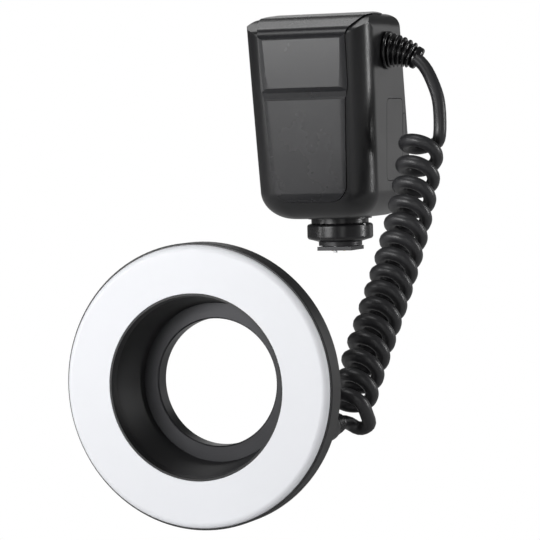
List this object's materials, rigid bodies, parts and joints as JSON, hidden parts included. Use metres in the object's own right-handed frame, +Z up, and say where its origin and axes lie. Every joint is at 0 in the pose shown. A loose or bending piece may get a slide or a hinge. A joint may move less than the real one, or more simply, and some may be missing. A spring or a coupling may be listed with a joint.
{
  "type": "macro ring flash",
  "caption": "Macro ring flash: a shoe-mounted controller with a curly cord to a ring-shaped flash head that locks on a lens adapter.",
  "frame": {"origin": "centre of the hot-shoe foot's underside", "axes": "+Z up along the neck, -Y the way the lamps face, +X to the right as seen from the front"},
  "size_m": [0.1353, 0.2166, 0.2402],
  "materials": {
    "casing_plastic": "fine satin",
    "panel_plastic": "smooth satin",
    "ring_plastic": "fine matte grain",
    "diffuser_white": "milky satin",
    "reflector_white": "gloss white",
    "adapter_metal": "black anodised, fine turned",
    "wheel_metal": "satin black",
    "foot_metal": "satin black",
    "steel": "plain",
    "contact_metal": "plated",
    "socket_metal": "nickel plated",
    "boot_rubber": "soft gloss",
    "cord_jacket": "satin",
    "tube_glass": "clear",
    "electrode_ceramic": "pale",
    "lamp_resin": "clear phosphor",
    "board_resin": "solder mask",
    "coil_copper": "varnished windings",
    "capacitor_sleeve": "shrunk sleeve",
    "bay_plastic": "moulded",
    "fascia_plastic": "smooth",
    "window_clear": "clear, dark",
    "display_glass": "liquid crystal grey",
    "key_rubber": "satin",
    "dial_plastic": "milled satin"
  },
  "bodies": {
    "flash": {"battery_bay": "bay_plastic", "battery_contacts": "contact_metal", "board_screws": "steel", "controller_cord_boot": "boot_rubber", "cord_upper_lead": "cord_jacket", "curly_cord": "cord_jacket", "display_board": "board_resin", "display_panel": "display_glass", "display_window": "window_clear", "flash_capacitor": "capacitor_sleeve", "flash_tube_lower": "tube_glass", "flash_tube_upper": "tube_glass", "front_panel": "panel_plastic", "front_shell": "casing_plastic", "inverter_transformer": "coil_copper", "latch_pins": "steel", "latch_spring_left": "steel", "latch_spring_right": "steel", "main_circuit_board": "board_resin", "modelling_lamps": "lamp_resin", "neck_collar": "casing_plastic", "neck_screws": "steel", "rear_fascia": "fascia_plastic", "rear_shell": "casing_plastic", "ring_bore_sleeve": "ring_plastic", "ring_circuit_board": "board_resin", "ring_cord_boot": "boot_rubber", "ring_diffuser": "diffuser_white", "ring_front_bezel": "ring_plastic", "ring_rear_shell": "ring_plastic", "ring_reflector": "reflector_white", "ring_screws": "steel", "shoe_foot": "foot_metal", "trigger_coil": "coil_copper", "tube_electrodes": "electrode_ceramic", "usb_cover_pin": "steel", "usb_socket": "socket_metal"},
    "pressure_plate": {"pressure_plate": "foot_metal", "lock_pin": "steel"},
    "lock_wheel": {"lock_wheel": "wheel_metal"},
    "contact_pins": {"contact_pins": "contact_metal"},
    "latch_right": {"latch_right": "ring_plastic"},
    "latch_left": {"latch_left": "ring_plastic"},
    "adapter_ring": {"adapter_ring": "adapter_metal"},
    "battery_pack": {"battery_pack": "casing_plastic"},
    "battery_release": {"battery_release": "casing_plastic"},
    "select_dial": {"select_dial": "dial_plastic"},
    "power_switch": {"power_switch": "dial_plastic"},
    "usb_cover": {"usb_cover": "casing_plastic"},
    "function_key_1": {"function_key_1": "key_rubber"},
    "function_key_2": {"function_key_2": "key_rubber"},
    "function_key_3": {"function_key_3": "key_rubber"},
    "function_key_4": {"function_key_4": "key_rubber"},
    "mode_key": {"mode_key": "key_rubber"},
    "wireless_key": {"wireless_key": "key_rubber"},
    "set_key": {"set_key": "key_rubber"},
    "test_key": {"test_key": "key_rubber"}
  },
  "joints": [
    {"name": "plate_lift", "type": "slide", "parent": "flash", "child": "pressure_plate", "axis": [0, 0, 1], "range_m": [0, 0.0015]},
    {"name": "wheel_turn", "type": "hinge", "parent": "pressure_plate", "child": "lock_wheel", "pos_m": [0, 0, 0.009], "axis": [0, 0, 1], "range_deg": [0, 360]},
    {"name": "contact_press", "type": "slide", "parent": "flash", "child": "contact_pins", "axis": [0, 0, 1], "range_m": [0, 0.0004], "stiffness_N_per_m": 500, "springref_m": -0.0004},
    {"name": "latch_right_press", "type": "hinge", "parent": "flash", "child": "latch_right", "pos_m": [0.0515, -0.1675, -0.053], "axis": [0, 0, -1], "range_deg": [0, 11], "stiffness_Nm_per_rad": 0.2, "springref_deg": -8.59, "deforming": ["latch_spring_right"]},
    {"name": "latch_left_press", "type": "hinge", "parent": "flash", "child": "latch_left", "pos_m": [-0.0515, -0.1675, -0.053], "axis": [0, 0, 1], "range_deg": [0, 11], "stiffness_Nm_per_rad": 0.2, "springref_deg": -8.59, "deforming": ["latch_spring_left"]},
    {"name": "adapter_turn", "type": "hinge", "parent": "flash", "child": "adapter_ring", "pos_m": [0, -0.1605, -0.053], "axis": [0, 1, 0], "continuous": true},
    {"name": "battery_draw", "type": "slide", "parent": "flash", "child": "battery_pack", "axis": [1, 0, 0], "range_m": [0, 0.06]},
    {"name": "battery_release_press", "type": "slide", "parent": "flash", "child": "battery_release", "axis": [-1, 0, 0], "range_m": [0, 0.001], "stiffness_N_per_m": 500, "springref_m": -0.001},
    {"name": "function_key_1_press", "type": "slide", "parent": "flash", "child": "function_key_1", "axis": [0, -0.9781, -0.2079], "range_m": [0, 0.0005], "stiffness_N_per_m": 400, "springref_m": -0.0005},
    {"name": "function_key_2_press", "type": "slide", "parent": "flash", "child": "function_key_2", "axis": [0, -0.9781, -0.2079], "range_m": [0, 0.0005], "stiffness_N_per_m": 400, "springref_m": -0.0005},
    {"name": "function_key_3_press", "type": "slide", "parent": "flash", "child": "function_key_3", "axis": [0, -0.9781, -0.2079], "range_m": [0, 0.0005], "stiffness_N_per_m": 400, "springref_m": -0.0005},
    {"name": "function_key_4_press", "type": "slide", "parent": "flash", "child": "function_key_4", "axis": [0, -0.9781, -0.2079], "range_m": [0, 0.0005], "stiffness_N_per_m": 400, "springref_m": -0.0005},
    {"name": "mode_key_press", "type": "slide", "parent": "flash", "child": "mode_key", "axis": [0, -0.9781, -0.2079], "range_m": [0, 0.0005], "stiffness_N_per_m": 400, "springref_m": -0.0005},
    {"name": "wireless_key_press", "type": "slide", "parent": "flash", "child": "wireless_key", "axis": [0, -0.9781, -0.2079], "range_m": [0, 0.0005], "stiffness_N_per_m": 400, "springref_m": -0.0005},
    {"name": "set_key_press", "type": "slide", "parent": "flash", "child": "set_key", "axis": [0, -0.9781, -0.2079], "range_m": [0, 0.0005], "stiffness_N_per_m": 400, "springref_m": -0.0005},
    {"name": "test_key_press", "type": "slide", "parent": "flash", "child": "test_key", "axis": [0, -0.9781, -0.2079], "range_m": [0, 0.0005], "stiffness_N_per_m": 400, "springref_m": -0.0005},
    {"name": "dial_turn", "type": "hinge", "parent": "flash", "child": "select_dial", "pos_m": [0, 0.02211, 0.05044], "axis": [0, 0.9781, 0.2079], "continuous": true},
    {"name": "power_slide", "type": "slide", "parent": "flash", "child": "power_switch", "axis": [1, 0, 0], "range_m": [0, 0.003]},
    {"name": "usb_cover_swing", "type": "hinge", "parent": "flash", "child": "usb_cover", "pos_m": [-0.03252, -0.001, 0.09502], "axis": [0.0244, 0, -0.9997], "range_deg": [0, 100]}
  ],
  "couplings": [
    {"joint": "wheel_turn", "follows": "plate_lift", "rad_per_m": 4188.8}
  ]
}
